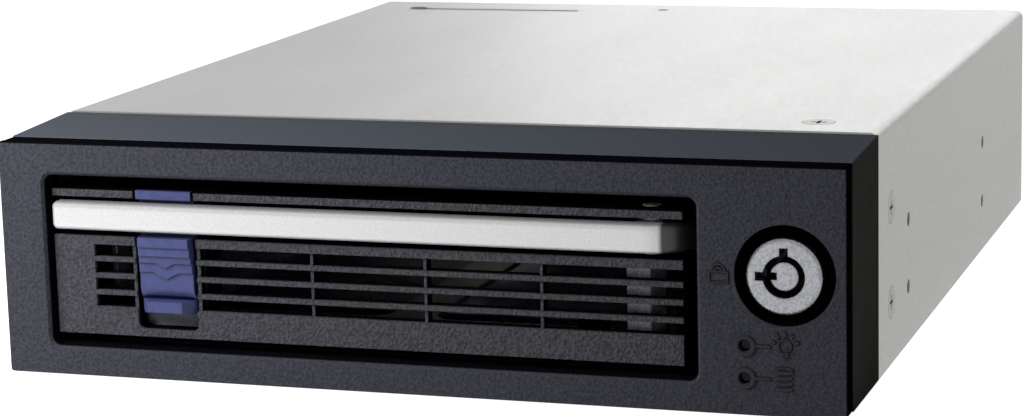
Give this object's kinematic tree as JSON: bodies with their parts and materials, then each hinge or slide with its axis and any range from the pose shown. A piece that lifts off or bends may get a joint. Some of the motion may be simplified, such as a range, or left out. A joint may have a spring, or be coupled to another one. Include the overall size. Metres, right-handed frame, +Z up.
{
  "type": "hot swap drive cage",
  "caption": "Half-height 5.25-inch bay cage with a sliding 3.5-inch drive carrier, swing handle, push-down latch, key lock, backplane and rear fan.",
  "frame": {"origin": "on the underside, under the middle of the cage", "axes": "+X right seen from the front, +Y back into the bay, +Z up; the carrier comes out towards -Y"},
  "size_m": [0.146, 0.1858, 0.0413],
  "materials": {
    "cover_steel": "satin zinc-plated sheet",
    "collar_plastic": "smooth satin dark grey",
    "face_plastic": "fine-textured dark grey",
    "carrier_plastic": "fine-textured dark grey",
    "screw_steel": "zinc-plated",
    "rail_plastic": "satin",
    "lock_nickel": "satin nickel",
    "board_green": "solder mask",
    "lamp_lens": "gloss",
    "clear_plastic": "gloss",
    "brass": "satin",
    "pin_brass": "bright",
    "socket_plastic": "satin",
    "header_plastic": "satin",
    "fan_plastic": "satin",
    "tray_steel": "satin zinc-plated sheet",
    "runner_plastic": "satin",
    "pin_steel": "polished",
    "spring_steel": "satin",
    "handle_silver": "fine-speckled silver paint",
    "latch_blue": "satin blue-violet"
  },
  "bodies": {
    "cage": {"shell_cover": "cover_steel", "bottom_plate": "cover_steel", "rear_panel": "cover_steel", "front_collar": "collar_plastic", "faceplate": "face_plastic", "collar_screws": "screw_steel", "guide_rail_left": "rail_plastic", "guide_rail_right": "rail_plastic", "rail_screws": "screw_steel", "lock_barrel": "lock_nickel", "lock_nut": "lock_nickel", "led_board": "board_green", "led_lamps": "lamp_lens", "light_pipes": "clear_plastic", "led_board_screw": "screw_steel", "backplane_board": "board_green", "board_standoffs": "brass", "board_screws": "screw_steel", "drive_receptacle": "socket_plastic", "data_socket": "socket_plastic", "power_header": "header_plastic", "power_pins": "pin_brass", "fan_frame": "fan_plastic", "fan_screws": "screw_steel"},
    "carrier": {"carrier_front": "carrier_plastic", "drive_tray": "tray_steel", "tray_runners": "runner_plastic", "tray_screws": "screw_steel", "hinge_block": "handle_silver", "hinge_pin": "pin_steel", "latch_cap": "latch_blue", "latch_spring": "spring_steel"},
    "handle": {"handle": "handle_silver"},
    "latch": {"latch": "latch_blue"},
    "lock_core": {"lock_core": "lock_nickel", "lock_cam": "screw_steel", "cam_screw": "screw_steel"},
    "fan": {"fan_rotor": "fan_plastic"}
  },
  "joints": [
    {"name": "carrier_slide", "type": "slide", "parent": "cage", "child": "carrier", "axis": [0, -1, 0], "range_m": [0, 0.168]},
    {"name": "handle_swing", "type": "hinge", "parent": "carrier", "child": "handle", "pos_m": [0.0403, -0.0856, 0.0275], "axis": [0, 0, 1], "range_deg": [0, 80]},
    {"name": "latch_slide", "type": "slide", "parent": "carrier", "child": "latch", "axis": [0, 0, -1], "range_m": [0, 0.0024], "stiffness_N_per_m": 300, "springref_m": -0.004, "deforming": ["latch_spring"]},
    {"name": "lock_turn", "type": "hinge", "parent": "cage", "child": "lock_core", "pos_m": [0.0633, -0.0921, 0.0227], "axis": [0, 1, 0], "range_deg": [0, 90]},
    {"name": "fan_spin", "type": "hinge", "parent": "cage", "child": "fan", "pos_m": [-0.0476, 0.0869, 0.02065], "axis": [0, 1, 0], "continuous": true}
  ]
}
